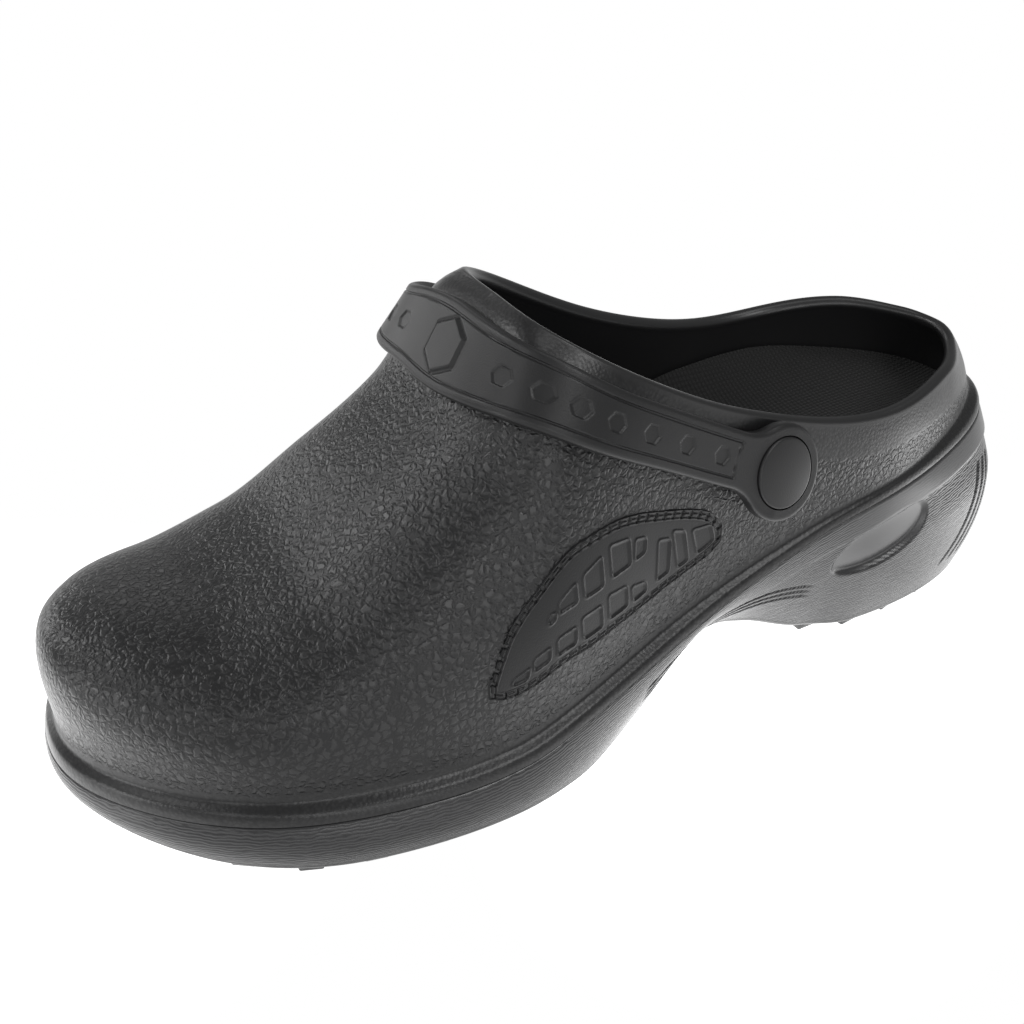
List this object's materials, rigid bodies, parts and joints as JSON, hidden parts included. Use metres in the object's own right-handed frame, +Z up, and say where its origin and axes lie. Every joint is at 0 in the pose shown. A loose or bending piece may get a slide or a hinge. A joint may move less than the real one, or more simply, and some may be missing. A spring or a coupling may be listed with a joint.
{
  "type": "non-slip kitchen shoe",
  "caption": "Moulded left kitchen clog with a studded wedge sole, grained hollow upper, knit insole and a riveted heel strap swung over the instep.",
  "frame": {"origin": "centre of the bounding box on the floor, under the sole", "axes": "+Z up, the toe points to -X and the heel to +X, the lateral side is -Y and the medial side +Y"},
  "size_m": [0.2932, 0.1128, 0.1196],
  "materials": {
    "sole_foam": "satin",
    "upper_foam": "satin",
    "insole_knit": "matte",
    "strap_foam": "satin",
    "rivet": "satin"
  },
  "bodies": {
    "root": {"sole": "sole_foam", "upper": "upper_foam", "insole": "insole_knit", "strap": "strap_foam", "button_lateral": "rivet", "button_medial": "rivet", "cap_lateral": "rivet", "cap_medial": "rivet"}
  },
  "joints": []
}
